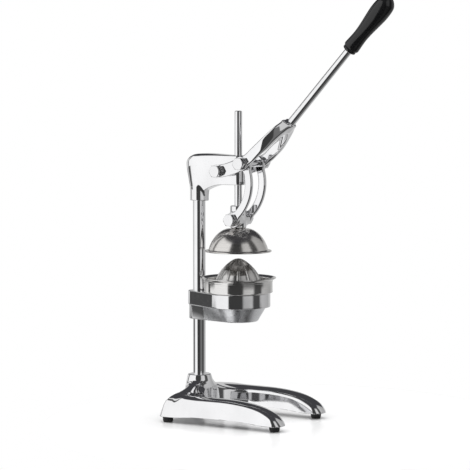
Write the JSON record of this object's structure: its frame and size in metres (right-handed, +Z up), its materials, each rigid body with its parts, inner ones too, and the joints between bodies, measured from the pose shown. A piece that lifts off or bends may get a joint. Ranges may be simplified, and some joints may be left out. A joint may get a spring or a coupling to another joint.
{
  "type": "lever citrus press",
  "caption": "Chromed manual citrus press: lever and link pair drive a plunger dome down over a ribbed reamer in a bowl held on a post above a horseshoe base.",
  "frame": {"origin": "centre of the bounding box on the table, with the lever raised as at rest", "axes": "+X from the post towards the toes of the base and the lever's grip, +Y to the left across the press, +Z up along the post"},
  "size_m": [0.3656, 0.178, 0.6654],
  "materials": {
    "chrome_casting": "polished chrome plated casting",
    "polished_bracket": "polished band above a satin skirt",
    "chrome_tube": "polished chrome plated bar",
    "chrome_link": "polished chrome plated steel",
    "chrome_hardware": "chrome plated fasteners",
    "zinc_steel": "zinc plated",
    "brushed_bowl": "spun and brushed stainless",
    "brushed_strainer": "cast and brushed stainless",
    "bronze": "sintered bronze",
    "black_rubber": "matt",
    "black_grip": "gloss moulded"
  },
  "bodies": {
    "frame": {"base_casting": "chrome_casting", "rubber_feet": "black_rubber", "foot_screws": "zinc_steel", "post_tube": "chrome_tube", "post_plug": "zinc_steel", "post_washer": "zinc_steel", "post_bolt": "zinc_steel", "bracket_casting": "polished_bracket", "bracket_screws": "zinc_steel", "head_casting": "chrome_casting", "head_screw": "zinc_steel", "guide_bush": "bronze", "lever_pivot_bolt": "chrome_hardware", "lever_pivot_nut": "chrome_hardware", "lever_pivot_washers": "chrome_hardware", "lever_pivot_spacers": "chrome_hardware"},
    "lever": {"lever_fork": "chrome_casting", "lever_rod": "chrome_tube", "handle_grip": "black_grip", "link_top_bolt": "chrome_hardware", "link_top_nut": "chrome_hardware", "link_top_washers": "chrome_hardware", "link_top_spacer": "chrome_hardware"},
    "links": {"link_left": "chrome_link", "link_right": "chrome_link", "link_bottom_bolt": "chrome_hardware", "link_bottom_nut": "chrome_hardware", "link_bottom_washers": "chrome_hardware"},
    "plunger": {"plunger_rod": "chrome_tube", "yoke": "chrome_link", "press_dome": "brushed_bowl", "dome_screw": "zinc_steel", "dome_washer": "zinc_steel"},
    "bowl": {"juice_bowl": "brushed_bowl"},
    "strainer": {"strainer": "brushed_strainer"}
  },
  "joints": [
    {"name": "lever_hinge", "type": "hinge", "parent": "frame", "child": "lever", "pos_m": [-0.1043, 0, 0.397], "axis": [0, 1, 0], "range_deg": [-18, 50]},
    {"name": "link_hinge", "type": "hinge", "parent": "lever", "child": "links", "pos_m": [-0.0618, 0, 0.4095], "axis": [0, 1, 0], "range_deg": [-51, 19]},
    {"name": "plunger_slide", "type": "slide", "parent": "frame", "child": "plunger", "axis": [0, 0, -1], "range_m": [-0.013, 0.036]},
    {"name": "bowl_turn", "type": "hinge", "parent": "frame", "child": "bowl", "pos_m": [-0.0858, 0, 0.2038], "axis": [0, 0, 1], "continuous": true},
    {"name": "strainer_turn", "type": "hinge", "parent": "bowl", "child": "strainer", "pos_m": [-0.0858, 0, 0.2055], "axis": [0, 0, 1], "continuous": true}
  ],
  "couplings": [
    {"joint": "link_hinge", "follows": "lever_hinge", "ratio": -1},
    {"joint": "plunger_slide", "follows": "lever_hinge", "m_per_rad": 0.04068}
  ]
}
